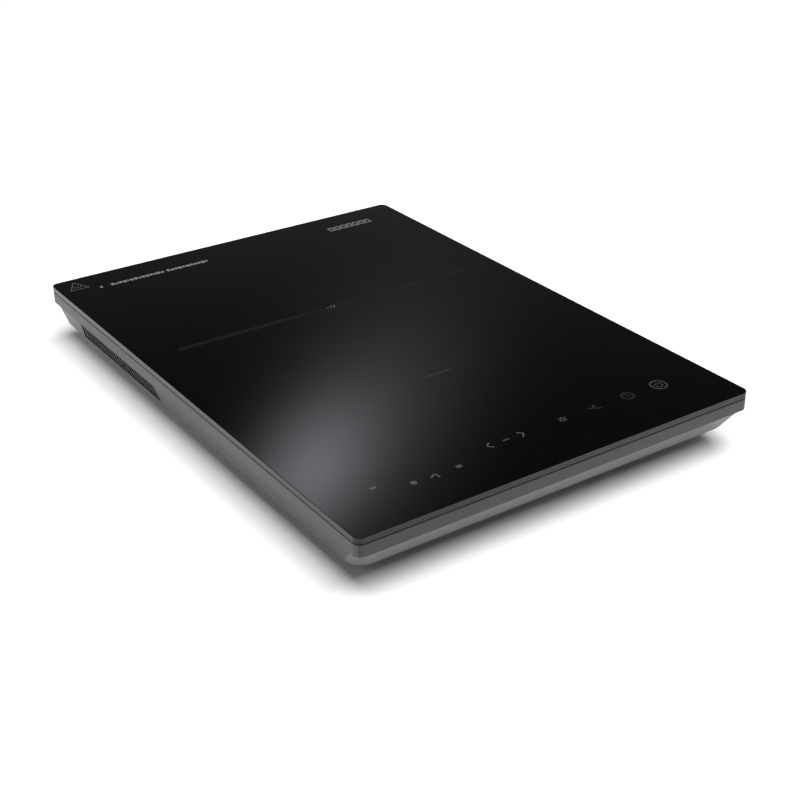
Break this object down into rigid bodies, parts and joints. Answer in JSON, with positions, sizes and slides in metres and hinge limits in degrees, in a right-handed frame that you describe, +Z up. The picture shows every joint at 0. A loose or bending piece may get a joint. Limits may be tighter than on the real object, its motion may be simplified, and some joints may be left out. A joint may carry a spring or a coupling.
{
  "type": "portable induction cooktop",
  "caption": "Slim portable induction cooktop: black glass top with touch controls, grey shell, side vents, coil, power board and cooling fan inside.",
  "frame": {"origin": "on the worktop, under the middle of the glass, at the height of the feet's flat undersides", "axes": "+Z up, +X to the right, +Y to the rear, so the touch controls are along the -Y edge"},
  "size_m": [0.29, 0.405, 0.038],
  "materials": {
    "black_glass": "polished black glass-ceramic",
    "adhesive": "matt silicone adhesive",
    "grey_shell": "satin grey moulded shell",
    "dark_shell": "satin dark grey moulded frame",
    "black_rubber": "matt black rubber",
    "zinc_steel": "zinc plated",
    "copper": "enamelled copper",
    "black_resin": "glass filled black resin",
    "mica": "pressed mica board",
    "ferrite": "sintered ferrite",
    "white_resin": "off-white resin",
    "silicone": "translucent silicone",
    "circuit_board": "green solder mask",
    "aluminium": "extruded",
    "package": "moulded epoxy",
    "film_box": "yellow film capacitor case"
  },
  "bodies": {
    "cooktop": {"glass_plate": "black_glass", "glass_bond": "adhesive", "top_frame": "dark_shell", "bottom_housing": "grey_shell", "cord_gland": "black_rubber", "foot_front_left": "black_rubber", "foot_front_right": "black_rubber", "foot_rear_left": "black_rubber", "foot_rear_right": "black_rubber", "housing_screw_1": "zinc_steel", "housing_screw_2": "zinc_steel", "housing_screw_3": "zinc_steel", "housing_screw_4": "zinc_steel", "housing_screw_5": "zinc_steel", "housing_screw_6": "zinc_steel", "mica_sheet": "mica", "litz_coil": "copper", "coil_carrier": "black_resin", "ferrite_bar_1": "ferrite", "ferrite_bar_2": "ferrite", "ferrite_bar_3": "ferrite", "ferrite_bar_4": "ferrite", "ferrite_bar_5": "ferrite", "ferrite_bar_6": "ferrite", "carrier_screw_1": "zinc_steel", "carrier_screw_2": "zinc_steel", "carrier_screw_3": "zinc_steel", "temperature_sensor": "white_resin", "sensor_holder": "silicone", "sensor_spring": "zinc_steel", "power_board": "circuit_board", "board_screw_1": "zinc_steel", "board_screw_2": "zinc_steel", "heatsink": "aluminium", "igbt": "package", "bridge_rectifier": "package", "resonant_capacitor": "film_box", "filter_capacitor": "film_box", "transformer": "package", "terminal_block": "white_resin", "bus_choke": "copper", "mains_fuse": "white_resin", "smoothing_capacitor": "package", "fan_housing": "black_resin", "fan_stator": "copper", "fan_cover": "black_resin", "touch_board": "circuit_board", "touch_bracket": "black_resin", "display_module": "white_resin", "touch_pad_1": "black_rubber", "touch_pad_2": "black_rubber", "touch_pad_3": "black_rubber", "touch_pad_4": "black_rubber", "touch_pad_5": "black_rubber", "touch_pad_6": "black_rubber", "buzzer": "black_resin", "ribbon_cable": "white_resin", "coil_lead_inner": "copper", "coil_lead_outer": "copper"},
    "fan_rotor": {"fan_rotor": "black_resin"}
  },
  "joints": [
    {"name": "fan_spin", "type": "hinge", "parent": "cooktop", "child": "fan_rotor", "pos_m": [0.0702, -0.1057, 0.0154], "axis": [0, 0, 1], "continuous": true}
  ]
}
